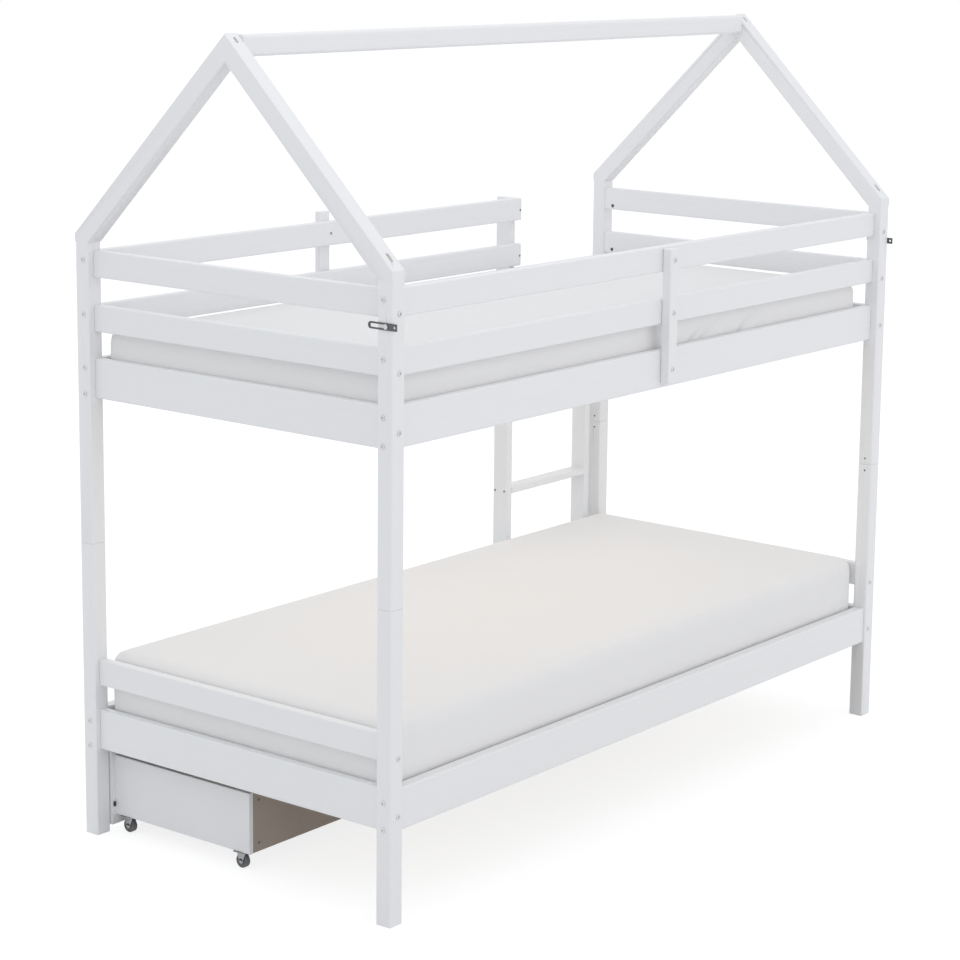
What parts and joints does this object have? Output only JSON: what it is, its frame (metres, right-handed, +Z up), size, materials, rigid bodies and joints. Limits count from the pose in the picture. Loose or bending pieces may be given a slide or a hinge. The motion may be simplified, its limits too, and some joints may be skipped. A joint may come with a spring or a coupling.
{
  "type": "loft bed",
  "caption": "White wooden house-frame bunk bed with slatted berths, mattresses, ladder, guard rails and rolling drawers.",
  "frame": {"origin": "centre of the whole bed's bounding box, on the floor", "axes": "+X along the bed from the end without the ladder to the ladder's end, +Y towards the ladder and drawer side, +Z up"},
  "size_m": [2.089, 1.024, 1.954],
  "materials": {
    "painted_frame": "white painted pine, silk",
    "painted_ladder": "white painted pine, silk",
    "painted_drawer": "white painted pine, silk",
    "slat_wood": "bare pine, planed",
    "drawer_board": "white board, matt",
    "dowel_wood": "bare beech",
    "mattress_sheet": "white cotton fitted sheet",
    "bolt_steel": "zinc plated",
    "nut_steel": "zinc plated",
    "strap_steel": "zinc plated",
    "castor_plastic": "black",
    "wheel_plastic": "black"
  },
  "bodies": {
    "bed": {"lower_post_front_left": "painted_frame", "upper_post_front_left": "painted_frame", "rafter_front_left": "painted_frame", "lower_post_front_right": "painted_frame", "upper_post_front_right": "painted_frame", "rafter_front_right": "painted_frame", "lower_post_rear_left": "painted_frame", "upper_post_rear_left": "painted_frame", "rafter_rear_left": "painted_frame", "lower_post_rear_right": "painted_frame", "upper_post_rear_right": "painted_frame", "rafter_rear_right": "painted_frame", "ridge_beam": "painted_frame", "front_guard_rails": "painted_frame", "front_upper_side_rail": "painted_frame", "front_lower_side_rail": "painted_frame", "rear_guard_rails": "painted_frame", "rear_upper_side_rail": "painted_frame", "rear_lower_side_rail": "painted_frame", "left_end_guard_rails": "painted_frame", "left_end_upper_rail": "painted_frame", "left_end_head_rail": "painted_frame", "left_end_lower_rail": "painted_frame", "right_end_guard_rails": "painted_frame", "right_end_upper_rail": "painted_frame", "right_end_head_rail": "painted_frame", "right_end_lower_rail": "painted_frame", "front_guard_stile": "painted_frame", "rear_guard_stile": "painted_frame", "ladder_stile_left": "painted_ladder", "ladder_stile_right": "painted_ladder", "ladder_rungs": "painted_ladder", "slat_ledgers": "slat_wood", "upper_slats": "slat_wood", "lower_slats": "slat_wood", "upper_mattress": "mattress_sheet", "lower_mattress": "mattress_sheet", "frame_bolts": "bolt_steel", "barrel_nuts": "nut_steel", "joint_dowels": "dowel_wood", "wall_straps": "strap_steel", "strap_bolts": "bolt_steel"},
    "drawer1": {"drawer1_front": "painted_drawer", "drawer1_sides": "drawer_board", "drawer1_back": "drawer_board", "drawer1_bottom": "drawer_board", "drawer1_castors": "castor_plastic"},
    "drawer1_wheel_front_left": {"drawer1_wheel_front_left": "wheel_plastic"},
    "drawer1_wheel_front_right": {"drawer1_wheel_front_right": "wheel_plastic"},
    "drawer1_wheel_back_left": {"drawer1_wheel_back_left": "wheel_plastic"},
    "drawer1_wheel_back_right": {"drawer1_wheel_back_right": "wheel_plastic"},
    "drawer2": {"drawer2_front": "painted_drawer", "drawer2_sides": "drawer_board", "drawer2_back": "drawer_board", "drawer2_bottom": "drawer_board", "drawer2_castors": "castor_plastic"},
    "drawer2_wheel_front_left": {"drawer2_wheel_front_left": "wheel_plastic"},
    "drawer2_wheel_front_right": {"drawer2_wheel_front_right": "wheel_plastic"},
    "drawer2_wheel_back_left": {"drawer2_wheel_back_left": "wheel_plastic"},
    "drawer2_wheel_back_right": {"drawer2_wheel_back_right": "wheel_plastic"}
  },
  "joints": [
    {"name": "drawer1_slide", "type": "slide", "parent": "bed", "child": "drawer1", "axis": [0, 1, 0], "range_m": [0, 0.45]},
    {"name": "drawer1_wheel_front_left_spin", "type": "hinge", "parent": "drawer1", "child": "drawer1_wheel_front_left", "pos_m": [-0.97, 0.399, 0.017], "axis": [1, 0, 0], "continuous": true},
    {"name": "drawer1_wheel_front_right_spin", "type": "hinge", "parent": "drawer1", "child": "drawer1_wheel_front_right", "pos_m": [-0.246, 0.399, 0.017], "axis": [1, 0, 0], "continuous": true},
    {"name": "drawer1_wheel_back_left_spin", "type": "hinge", "parent": "drawer1", "child": "drawer1_wheel_back_left", "pos_m": [-0.97, 0.019, 0.017], "axis": [1, 0, 0], "continuous": true},
    {"name": "drawer1_wheel_back_right_spin", "type": "hinge", "parent": "drawer1", "child": "drawer1_wheel_back_right", "pos_m": [-0.246, 0.019, 0.017], "axis": [1, 0, 0], "continuous": true},
    {"name": "drawer2_slide", "type": "slide", "parent": "bed", "child": "drawer2", "axis": [0, 1, 0], "range_m": [0, 0.45]},
    {"name": "drawer2_wheel_front_left_spin", "type": "hinge", "parent": "drawer2", "child": "drawer2_wheel_front_left", "pos_m": [-0.19, 0.399, 0.017], "axis": [1, 0, 0], "continuous": true},
    {"name": "drawer2_wheel_front_right_spin", "type": "hinge", "parent": "drawer2", "child": "drawer2_wheel_front_right", "pos_m": [0.534, 0.399, 0.017], "axis": [1, 0, 0], "continuous": true},
    {"name": "drawer2_wheel_back_left_spin", "type": "hinge", "parent": "drawer2", "child": "drawer2_wheel_back_left", "pos_m": [-0.19, 0.019, 0.017], "axis": [1, 0, 0], "continuous": true},
    {"name": "drawer2_wheel_back_right_spin", "type": "hinge", "parent": "drawer2", "child": "drawer2_wheel_back_right", "pos_m": [0.534, 0.019, 0.017], "axis": [1, 0, 0], "continuous": true}
  ],
  "couplings": [
    {"joint": "drawer1_wheel_front_left_spin", "follows": "drawer1_slide", "rad_per_m": -58.824},
    {"joint": "drawer1_wheel_front_right_spin", "follows": "drawer1_slide", "rad_per_m": -58.824},
    {"joint": "drawer1_wheel_back_left_spin", "follows": "drawer1_slide", "rad_per_m": -58.824},
    {"joint": "drawer1_wheel_back_right_spin", "follows": "drawer1_slide", "rad_per_m": -58.824},
    {"joint": "drawer2_wheel_front_left_spin", "follows": "drawer2_slide", "rad_per_m": -58.824},
    {"joint": "drawer2_wheel_front_right_spin", "follows": "drawer2_slide", "rad_per_m": -58.824},
    {"joint": "drawer2_wheel_back_left_spin", "follows": "drawer2_slide", "rad_per_m": -58.824},
    {"joint": "drawer2_wheel_back_right_spin", "follows": "drawer2_slide", "rad_per_m": -58.824}
  ]
}
